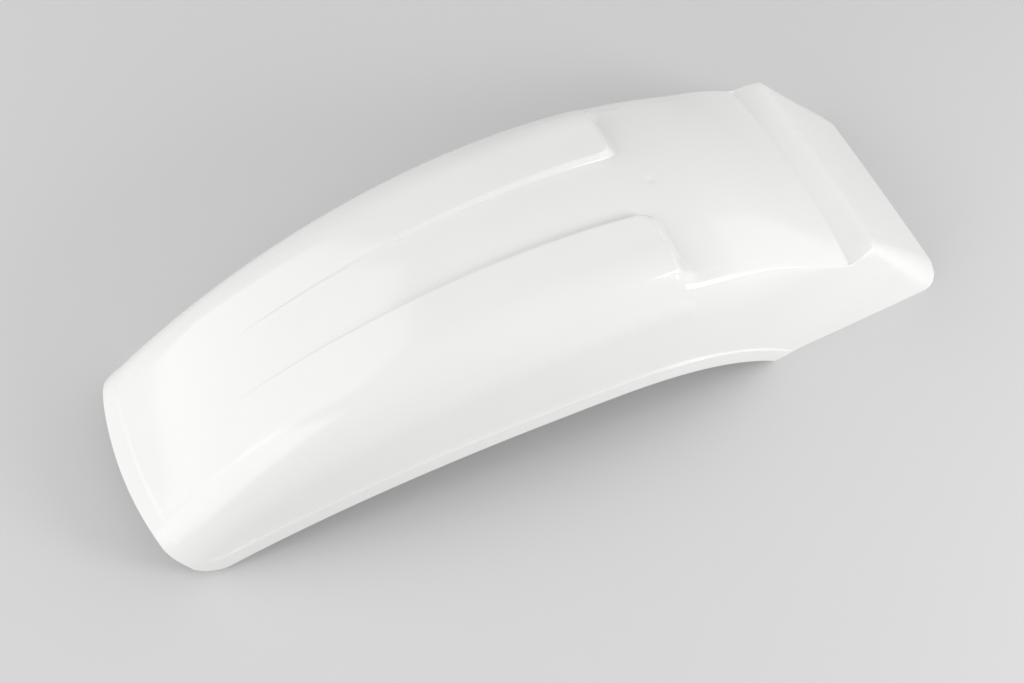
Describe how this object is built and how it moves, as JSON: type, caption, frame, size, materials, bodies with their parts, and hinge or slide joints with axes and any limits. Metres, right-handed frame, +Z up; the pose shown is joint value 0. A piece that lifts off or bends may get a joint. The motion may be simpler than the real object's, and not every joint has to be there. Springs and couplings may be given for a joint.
{
  "type": "dirt bike rear fender",
  "caption": "Arched one-piece moulded plastic rear fender with ribs that fade towards the rounded tail, a sunken bolting deck and a sloping front collar.",
  "frame": {"origin": "on the surface that the fender lies on, under the middle of its length and width", "axes": "+X along the length from the tail tip to the front (seat) edge, +Y across to the fender's left side, +Z up"},
  "size_m": [0.62, 0.2008, 0.1513],
  "materials": {
    "fender_plastic": "gloss, as moulded"
  },
  "bodies": {
    "root": {"rear_fender": "fender_plastic"}
  },
  "joints": []
}
